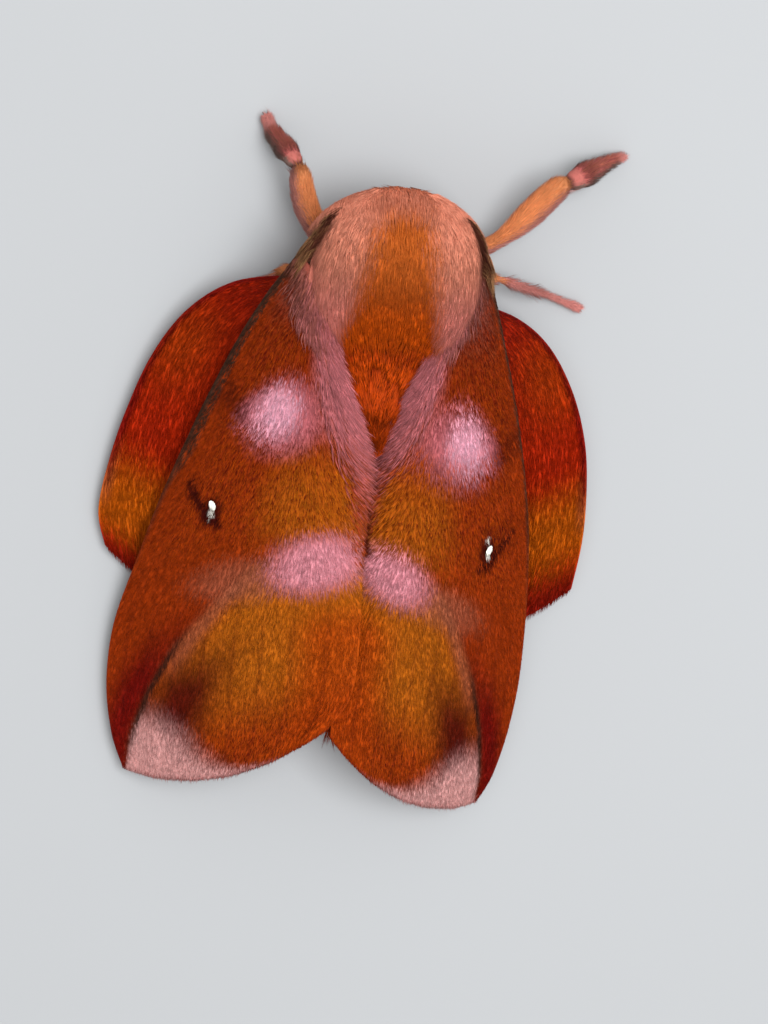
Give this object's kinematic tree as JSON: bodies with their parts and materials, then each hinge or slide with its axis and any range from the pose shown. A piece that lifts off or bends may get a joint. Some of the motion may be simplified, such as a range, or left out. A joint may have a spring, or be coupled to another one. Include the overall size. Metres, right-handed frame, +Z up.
{
  "type": "moth",
  "caption": "Still, life-size silk moth at rest, with furry thorax, pink-blotched orange-brown forewings folded like a roof and red-orange hindwings spread in front of them.",
  "frame": {"origin": "middle of the bounding box on the floor that the feet and belly rest on", "axes": "+Z up through the back, -Y towards the head, +X towards the moth's left wings"},
  "size_m": [0.0414, 0.0578, 0.013],
  "materials": {
    "thorax_coat": "dense hair, dusty pink with an orange-brown middle stripe",
    "abdomen_coat": "short orange hair",
    "face_coat": "short brown-pink hair",
    "forewing": "matt scales, orange-brown with pink blotches and a small white spot",
    "hindwing": "matt scales, deep red-orange with an ochre outer band",
    "eye": "glossy dark facets",
    "antenna": "satin ochre",
    "leg": "short pink and orange hair"
  },
  "bodies": {
    "root": {"thorax": "thorax_coat", "abdomen": "abdomen_coat", "head": "face_coat", "forewing_left": "forewing", "hindwing_left": "hindwing", "eye_left": "eye", "antenna_left": "antenna", "palp_left": "face_coat", "foreleg_left": "leg", "midleg_left": "leg", "hindleg_left": "leg", "forewing_right": "forewing", "hindwing_right": "hindwing", "eye_right": "eye", "antenna_right": "antenna", "palp_right": "face_coat", "foreleg_right": "leg", "midleg_right": "leg", "hindleg_right": "leg"}
  },
  "joints": []
}
